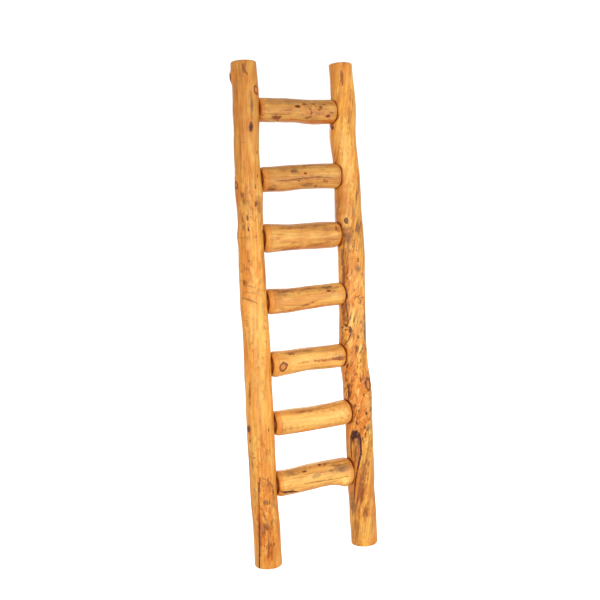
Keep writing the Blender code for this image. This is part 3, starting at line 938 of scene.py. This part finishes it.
leftRail = {
    "node": "left_rail",
    "slot": "left_rail_wood",
    "side": -1,
    "around": 160,
    "along": 560,
    "seed": 3,
    "lump": 0.9,
    "wood": {
        "Light": colour(242, 174, 76),
        "Deep": colour(227, 140, 50),
        "Axis": (-0.204, 0, 0),
        "Twist": 0.4,
        "Streaks": 0.45,
        "Mottle": 0.04,
        "Lines": 0.45,
    },
    "paintedShade": [  # height, and how far painted shade darkens the log there
        (0.00, 0.3), (0.30, 0.2), (0.60, 0.1), (0.80, 0.0), (0.95, 0.0), (1.10, 0.1),
        (1.30, 0.45), (1.45, 0.7), (1.60, 0.9), (1.83, 1.0),
    ],
    "stubs": [(1.222, -104, 18, 26, 5.0)],  # height, angle, half width, half length, lift
    "knots": [  # height, angle, half width, half length, lift, pale heart
        (1.604, 0, 8, 15, 1.0, 0.0), (1.733, 31, 11, 17, 1.5, 1.0),
        (1.785, -104, 11, 13, 9.0, 0.0), (1.402, -80, 11, 14, 3.5, 0.9),
        (0.520, -80, 9, 11, 2.0, 0.2), (1.180, 150, 11, 15, 2.5, 0.5),
        (0.745, 172, 12, 17, 3.0, 0.3), (1.530, 128, 8, 12, 1.5, 0.0),
        (0.330, -148, 10, 14, 2.0, 0.6), (0.980, -128, 9, 13, 1.5, 0.1),
        (0.905, 112, 8, 10, 1.5, 0.0), (1.690, -165, 9, 13, 2.0, 0.7),
    ],
    "cracks": [  # half width in mm, strength, then the line's points
        (1.5, 1.0, (0.000, -66), (0.060, -61), (0.110, -57), (0.150, -54), (0.200, -50)),
        (1.0, 0.70, (0.200, -50), (0.250, -46), (0.300, -42), (0.345, -36)),
        (2.0, 0.50, (1.824, -28), (1.803, -21), (1.784, -8)),
        (1.6, 0.32, (1.046, -54), (1.042, -32), (1.033, -8)),
        (1.5, 0.26, (1.021, -74), (1.020, -40), (1.015, -8)),
        (1.9, 0.34, (1.001, -82), (0.998, -55), (0.990, -30), (0.979, -6)),
        (1.5, 0.34, (1.064, -66), (1.052, -50), (1.056, -42)),
        (1.4, 0.24, (1.216, -90), (1.216, -46)),
        (1.4, 0.30, (0.418, -82), (0.414, -66), (0.419, -46)),
        (0.8, 0.35, (0.920, -80), (0.918, -52)), (0.8, 0.35, (0.910, -76), (0.912, -44)),
        (0.9, 0.30, (1.550, -46), (1.548, -20)),
        (1.0, 0.35, (1.293, -28), (1.283, -14), (1.272, -3), (1.286, 8)),
        (1.8, 0.30, (0.343, -30), (0.336, -10), (0.323, 6), (0.302, 20), (0.262, 25)),
        (1.6, 0.24, (0.325, -24), (0.318, -8), (0.306, 4)),
        (0.8, 0.35, (1.740, 20), (1.756, 36), (1.752, 58)),
        (1.2, 0.85, (1.360, 172), (1.200, 166), (1.060, 170), (0.860, 160)),
        (1.0, 0.70, (0.640, -150), (0.520, -146), (0.420, -150)),
        (1.0, 0.70, (1.830, 120), (1.760, 124), (1.700, 121)),
    ],
    "brown": [  # height, angle, half length, half width in mm, lean, strength
        (1.803, -22, 22, 7, 14, 0.7), (1.668, 3, 70, 6, -3, 0.7), (1.600, -6, 34, 10, 0, 0.4),
        (1.325, 22, 40, 20, 0, 0.45), (1.366, -50, 12, 9, 0, 0.7), (1.340, -40, 13, 9, 0, 0.7),
        (1.284, -60, 22, 7, 0, 0.65), (1.252, -57, 14, 9, 20, 0.6), (1.215, -42, 6, 6, 0, 0.6),
        (1.215, 0, 5, 5, 0, 0.6), (1.105, -45, 7, 9, 0, 0.7), (1.055, -57, 14, 11, 0, 0.7),
        (1.030, 0, 7, 4, 0, 0.6), (0.655, -63, 46, 6, 0, 0.8), (0.665, 4, 46, 12, 0, 0.35),
        (0.520, -74, 18, 13, 0, 0.75), (0.515, 12, 7, 5, 0, 0.6), (0.480, -20, 24, 6, 0, 0.65),
        (0.440, -4, 24, 6, 5, 0.7), (0.390, -68, 22, 8, 0, 0.6), (1.513, 33, 6, 6, 0, 0.6),
        (1.120, 150, 90, 16, 4, 0.5), (0.600, 150, 120, 18, -4, 0.45),
        (1.500, 170, 90, 20, 3, 0.45), (0.108, -15, 48, 7, 6, 0.85), (0.072, -22, 34, 6, 0, 0.7),
        (0.062, -6, 34, 5, 4, 0.65), (0.150, -34, 30, 9, 14, 0.7),
        (0.160, -24, 26, 12, -40, 0.55), (0.176, 2, 24, 7, 30, 0.5), (0.130, -52, 74, 8, 0, 0.75),
        (0.250, -8, 12, 14, 0, 0.65), (0.310, -42, 24, 5, 0, 0.7), (0.318, -8, 10, 20, -50, 0.45),
        (0.300, 8, 8, 18, -40, 0.45), (0.270, 20, 34, 6, 0, 0.5), (0.205, -30, 30, 6, -14, 0.45),
        (0.160, 120, 90, 22, 0, 0.55), (0.850, -140, 80, 14, 5, 0.5),
    ],
    "grey": [
        (0.252, -12, 12, 15, 8, 0.45), (0.238, 20, 22, 8, -30, 0.4), (0.112, -53, 62, 6, 2, 0.5),
        (0.170, -16, 18, 6, 0, 0.55), (1.690, 6, 40, 5, -3, 0.4), (0.400, 165, 90, 16, 0, 0.45),
        (1.300, 160, 60, 14, 0, 0.45),
    ],
    "red": [
        (1.370, -84, 50, 14, 0, 0.6), (0.120, -14, 50, 13, 4, 0.8), (0.060, -17, 38, 14, 0, 0.7),
        (0.150, -44, 90, 20, 0, 0.75), (0.270, -4, 80, 30, 0, 0.5), (1.020, -40, 40, 30, 0, 0.15),
    ],
    # the two broad pale patches over the front, 0.62 and 0.89 m up, are painted light
    "pale": [
        (1.405, -74, 9, 7, 0, 0.8), (1.366, 34, 9, 12, 60, 0.8), (0.890, -16, 150, 46, 0, 0.4),
        (0.620, -20, 150, 30, 0, 0.15),
    ],
    "dark": [
        (1.602, 0, 13, 6, 0, 0.6), (1.786, -100, 8, 7, 0, 0.7),
    ],
    "fleck": [
        (1.060, -34, 90, 50, 0, 0.42), (0.220, -20, 150, 50, 0, 0.5),
        (1.320, -30, 120, 70, 0, 0.38), (0.440, -40, 60, 50, 0, 0.35),
    ],
}

rightRail = {
    "node": "right_rail",
    "slot": "right_rail_wood",
    "side": 1,
    "around": 160,
    "along": 560,
    "seed": 8,
    "lump": 1.1,
    "wood": {
        "Light": colour(244, 176, 70),
        "Deep": colour(222, 139, 54),
        "Axis": (0.202, 0, 0),
        "Twist": 4.0,
        "Streaks": 0.85,
        "Mottle": 0.08,
        "Lines": 0.6,
    },
    # painted shade along the rail
    "paintedShade": [
        (0.00, 0.15), (0.10, 0.2), (0.25, 0.35), (0.50, 0.1), (0.90, 0.0), (1.08, 0.1),
        (1.20, 0.55), (1.34, 0.5), (1.46, 0.2), (1.83, 0.2),
    ],
    "knots": [
        (1.258, -38, 9, 13, 1.0, 0.35), (1.608, -74, 9, 9, 4.0, 0.2),
        (0.634, 22, 15, 27, 3.0, 1.0), (1.110, 0, 5, 9, 0.8, 0.8), (0.905, 150, 12, 16, 3.0, 0.3),
        (1.420, 165, 10, 14, 2.0, 0.6), (0.450, 140, 11, 15, 2.5, 0.2),
        (1.660, 130, 9, 12, 2.0, 0.0), (0.200, -160, 10, 15, 2.0, 0.5),
        (1.150, -140, 9, 13, 1.8, 0.2),
    ],
    "cracks": [
        (1.6, 0.95, (0.456, -60), (0.430, -68), (0.390, -69), (0.350, -66)),
        (1.9, 1.00, (0.450, -30), (0.420, -25), (0.372, -24), (0.335, -34), (0.300, -44)),
        (1.5, 0.85, (0.300, -44), (0.270, -52), (0.230, -60), (0.190, -64)),
        (1.3, 0.80, (1.012, -60), (0.960, -57), (0.910, -49), (0.880, -45), (0.862, -50)),
        (1.1, 0.75, (0.862, -50), (0.856, -36), (0.836, -33), (0.808, -46), (0.790, -66)),
        (1.0, 0.60, (0.966, -18), (0.974, -4), (0.978, 10)),
        (1.0, 0.60, (0.972, -2), (0.960, 8), (0.948, 14)), (1.0, 0.60, (0.966, 18), (0.966, 34)),
        (1.3, 0.75, (0.645, -58), (0.600, -66), (0.560, -71)),
        (1.1, 0.70, (0.620, -52), (0.586, -60)),
        (1.0, 0.55, (0.860, -34), (0.842, -28), (0.850, -18)),
        (1.2, 0.85, (1.500, 160), (1.300, 168), (1.100, 164), (0.960, 172)),
        (1.1, 0.75, (0.760, 120), (0.640, 126), (0.520, 122)),
        (1.2, 0.80, (0.000, 100), (0.090, 104), (0.170, 101)),
    ],
    "brown": [
        (1.788, -27, 30, 7, 0, 1.0), (1.396, 30, 46, 6, 8, 0.65), (1.346, 13, 34, 5, 10, 0.65),
        (1.300, -6, 40, 5, 4, 0.6), (1.330, 26, 50, 7, 8, 0.45), (1.300, -75, 60, 14, 0, 0.4),
        (1.245, 15, 32, 13, 6, 0.55), (1.205, -30, 34, 14, -8, 0.6), (1.165, -40, 34, 9, 6, 0.75),
        (1.150, -54, 62, 9, 3, 0.8), (1.226, -30, 9, 12, 0, 0.55), (1.120, -66, 46, 11, 6, 0.85),
        (1.050, -67, 52, 11, 0, 0.9), (1.085, -50, 60, 8, 3, 0.7), (0.930, -52, 60, 10, 0, 0.6),
        (1.170, 28, 50, 14, 4, 0.4), (0.925, -66, 60, 15, -6, 0.9), (0.800, -70, 40, 16, 0, 0.45),
        (0.775, -10, 16, 6, 0, 0.8), (0.760, 6, 12, 5, 20, 0.8), (0.270, -14, 100, 14, 12, 0.55),
        (0.200, -34, 90, 14, 12, 0.8), (0.345, 4, 80, 12, 12, 0.55),
        (0.140, -14, 36, 14, 12, 0.7), (0.060, -64, 70, 20, 6, 0.45),
        (0.080, 12, 50, 6, 10, 0.35), (0.395, -46, 52, 15, 0, 0.8),
        (0.560, 150, 110, 20, 6, 0.55), (1.230, 150, 100, 20, -4, 0.55),
        (0.880, 110, 90, 16, 5, 0.55), (1.600, 170, 100, 18, 3, 0.5),
        (0.300, 110, 90, 20, 8, 0.55), (0.700, -130, 90, 18, 0, 0.55),
    ],
    "grey": [
        (1.078, -5, 14, 9, 0, 0.9), (1.052, 18, 12, 8, 30, 0.7), (1.190, -42, 40, 12, -6, 0.7),
        (1.130, -62, 44, 11, 4, 0.6), (1.230, 6, 26, 9, 6, 0.6), (0.850, 40, 60, 12, 0, 0.7),
        (0.830, -30, 10, 5, 0, 0.8), (0.465, 10, 14, 17, 20, 0.7), (0.480, 36, 30, 16, 0, 0.65),
        (0.165, -74, 52, 13, 0, 0.9), (0.300, -20, 60, 10, 12, 0.5), (0.420, 30, 50, 8, 6, 0.45),
        (1.020, 150, 80, 18, 0, 0.55), (0.380, -150, 80, 18, 0, 0.5),
    ],
    "red": [
        (0.580, -22, 150, 52, 0, 0.38), (0.800, -30, 70, 34, 0, 0.3),
        (0.470, -40, 40, 34, 0, 0.5), (0.950, 8, 50, 28, 0, 0.3), (1.020, -14, 100, 44, 0, 0.35),
        (0.250, -30, 110, 34, 10, 0.35), (0.620, 150, 130, 60, 0, 0.45),
    ],
    # the broad pale patches over the front, 0.07, 0.86, 1.02 and 1.5 m up, are painted light
    "pale": [
        (1.258, -38, 27, 21, 0, 0.95), (1.290, -20, 30, 12, 0, 0.3),
        (1.500, -20, 140, 24, 0, 0.45), (0.070, -8, 60, 36, 0, 0.3),
        (0.860, -8, 110, 40, 0, 0.25), (1.020, -10, 80, 40, 0, 0.3), (0.560, 8, 30, 12, 0, 0.45),
    ],
    "dark": [
        (0.442, -46, 17, 17, 0, 1.0), (0.430, -60, 22, 5, 0, 0.8), (0.425, -32, 26, 5, 0, 0.85),
        (0.978, -54, 14, 6, 0, 0.85), (0.866, -55, 7, 7, 0, 0.85), (0.520, 5, 9, 6, 0, 0.85),
        (0.490, -40, 10, 5, 0, 0.75), (0.655, -70, 12, 5, 0, 0.6), (0.610, -62, 22, 4, 4, 0.75),
        (0.555, -44, 9, 5, 20, 0.6), (0.535, -28, 10, 4, 10, 0.55), (0.470, -4, 8, 6, 0, 0.55),
        (0.460, 12, 10, 10, 0, 0.45), (0.780, -14, 12, 5, 10, 0.65), (0.760, 2, 10, 4, 30, 0.65),
        (0.848, -36, 12, 6, 0, 0.65), (0.885, -20, 12, 4, 10, 0.6), (0.900, -34, 16, 4, 8, 0.6),
        (0.940, -26, 10, 4, 14, 0.45), (0.826, -6, 14, 3, 6, 0.55), (0.900, 44, 30, 5, 0, 0.6),
        (0.822, 40, 20, 6, 0, 0.6), (1.612, -92, 8, 9, 0, 0.7), (0.632, -64, 16, 5, 0, 0.6),
        (0.636, 36, 22, 5, 0, 0.75), (0.640, 8, 14, 3, 0, 0.5),
    ],
    "fleck": [
        (0.860, -8, 150, 70, 0, 0.95), (0.590, -10, 170, 80, 0, 1.0),
        (1.020, -8, 90, 60, 0, 0.85), (0.430, 0, 60, 50, 0, 0.7), (1.190, -30, 70, 40, 0, 0.5),
        (0.700, 150, 300, 80, 0, 0.7),
    ],
}


def holeCutter(side):
    # the mortises and countersunk screw holes of one rail, as one hidden cutting mesh
    bm = bmesh.new()
    inward = 1 if side == "left" else -1
    gap = joint["fitGap"]
    bore = joint["tenonRadius"] + gap
    deep = joint["tenonLength"] + joint["endGap"]
    clear = 20 * mm  # how far the cutter stands out past the seat
    sideways = Matrix.Rotation(math.pi / 2, 4, "Y")
    for seatX, seatY, seatZ, _ in seats[side]:
        middle = Vector((seatX + inward * (clear - deep) / 2, seatY, seatZ))
        bmesh.ops.create_cone(
            bm, cap_ends=True, segments=joint["boreSides"], radius1=bore, radius2=bore,
            depth=deep + clear, matrix=Matrix.Translation(middle) @ sideways,
        )
    head, shank = joint["screwHead"] + gap, joint["screwShank"] + gap
    top, tip = joint["headClear"], -joint["screwLength"] - gap
    profile = (  # radius, and Y from the head's face
        (0, top), (head, top), (head, gap), (shank, -joint["headHeight"]), (shank, tip), (0, tip),
    )
    for number in range(1, 8):
        low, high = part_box(f"{side}_screw_{number}")
        face = Vector(((low.x + high.x) / 2, high.y, (low.z + high.z) / 2))
        corners = [bm.verts.new(face + Vector((r, y, 0))) for r, y in profile]
        edges = [bm.edges.new(pair) for pair in zip(corners, corners[1:])]
        bmesh.ops.spin(
            bm, geom=corners + edges, cent=face, axis=(0, 1, 0), angle=math.tau,
            steps=joint["screwSides"], use_merge=True,
        )
    bmesh.ops.remove_doubles(bm, verts=bm.verts, dist=1e-6)
    bmesh.ops.recalc_face_normals(bm, faces=bm.faces)
    return meshFrom(bm, side + "_holes")


def bored(piece, cutterMesh):
    # the piece's mesh with the holes cut out, and no modifier left on it
    cutter = bpy.data.objects.new("cutter", cutterMesh)
    scene.collection.objects.link(cutter)
    cutterMesh.materials.append(piece.data.materials[1])
    boring = piece.modifiers.new("holes", "BOOLEAN")
    boring.operation = "DIFFERENCE"
    boring.solver = "EXACT"
    boring.material_mode = "TRANSFER"
    boring.object = cutter
    graph = bpy.context.evaluated_depsgraph_get()
    mesh = bpy.data.meshes.new_from_object(piece.evaluated_get(graph))
    piece.modifiers.clear()
    piece.data = mesh
    bpy.data.objects.remove(cutter)
    # the cut's many-sided faces become triangles, and its slivers and fins go
    bm = bmesh.new()
    bm.from_mesh(mesh)
    bmesh.ops.triangulate(bm, faces=[f for f in bm.faces if len(f.verts) > 4])
    bmesh.ops.remove_doubles(bm, verts=bm.verts, dist=joint["cutMerge"])
    bmesh.ops.dissolve_degenerate(bm, edges=bm.edges, dist=joint["cutMerge"])
    bm.to_mesh(mesh)
    bm.free()
    mesh.set_sharp_from_angle(angle=math.radians(surface["sharpAngle"]))


for look, side in ((leftRail, "left"), (rightRail, "right")):
    piece = addPiece(look, buildRail(look, seats[side]), look["node"])
    bored(piece, holeCutter(side))
print("rails ready")

zinc = zincMaterial()
for side in ("left", "right"):
    for number in range(1, 8):
        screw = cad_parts[f"{side}_screw_{number}"]
        screw.data.materials.clear()
        screw.data.materials.append(zinc)

# a white floor and backdrop, and broad soft light from about the camera's side
stage = {
    "floorSize": 60.0,
    "floorColour": (0.9, 0.9, 0.9, 1),
    "floorRoughness": 0.9,
    "floorGlow": 0.75,  # keeps the pale floor as light as the backdrop
    "worldLight": 0.68,
    "backdrop": 1.1,
}
bm = bmesh.new()
bmesh.ops.create_grid(bm, x_segments=1, y_segments=1, size=stage["floorSize"] / 2)
floor = bpy.data.objects.new("floor", meshFrom(bm, "floor"))
scene.collection.objects.link(floor)
floorPaint = bpy.data.materials.new("floorPaint")
floorPaint.use_nodes = True
t = Tree(floorPaint.node_tree)
shader = floorPaint.node_tree.nodes["Principled BSDF"]
shader.inputs["Base Color"].default_value = stage["floorColour"]
shader.inputs["Roughness"].default_value = stage["floorRoughness"]
shader.inputs["Emission Color"].default_value = (1, 1, 1, 1)
cameraRay = t.add("LightPath").outputs["Is Camera Ray"]
t.join(t.times(cameraRay, stage["floorGlow"]), shader.inputs["Emission Strength"])
floor.data.materials.append(floorPaint)

world = bpy.data.worlds.new("studio")
world.use_nodes = True
scene.world = world
t = Tree(world.node_tree)
backdrop = world.node_tree.nodes["Background"]
cameraRay = t.add("LightPath").outputs["Is Camera Ray"]
backdrop.inputs["Color"].default_value = (1, 1, 1, 1)
strength = t.step(cameraRay, 0.0, 1.0, stage["worldLight"], stage["backdrop"])
t.join(strength, backdrop.inputs["Strength"])

softboxes = [  # name, place, aim, side length, watts
    ("keyBox", (-2.4, -3.3, 1.15), (0, 0, 0.9), 2.4, 64),
    ("fillBox", (1.7, -3.6, 1.1), (0, 0, 0.9), 2.4, 46),
    ("backBox", (0.8, 3.6, 1.6), (0, 0, 1.0), 2.5, 40),
]
for name, place, aim, side, watts in softboxes:
    lamp = bpy.data.lights.new(name, "AREA")
    lamp.shape = "SQUARE"
    lamp.size = side
    lamp.energy = watts
    box = bpy.data.objects.new(name, lamp)
    box.location = place
    box.rotation_euler = (Vector(aim) - Vector(place)).to_track_quat("-Z", "Y").to_euler()
    scene.collection.objects.link(box)

view = {
    "place": (-1.3381, -2.7993, 1.2138),
    "azimuth": -25.20,
    "elevation": 4.44,
    "roll": -2.90,
    "lens": 50,
    "sensor": 36,
}
cameraData = bpy.data.cameras.new("camera")
cameraData.lens = view["lens"]
cameraData.sensor_width = view["sensor"]
camera = bpy.data.objects.new("camera", cameraData)
camera.location = view["place"]
turn = Euler((math.radians(90 - view["elevation"]), 0, math.radians(view["azimuth"])))
roll = Matrix.Rotation(math.radians(view["roll"]), 4, "Z")
camera.rotation_euler = (turn.to_matrix().to_4x4() @ roll).to_euler()
scene.collection.objects.link(camera)
scene.camera = camera
scene.view_settings.view_transform = "Standard"
print("stage, light and camera ready")
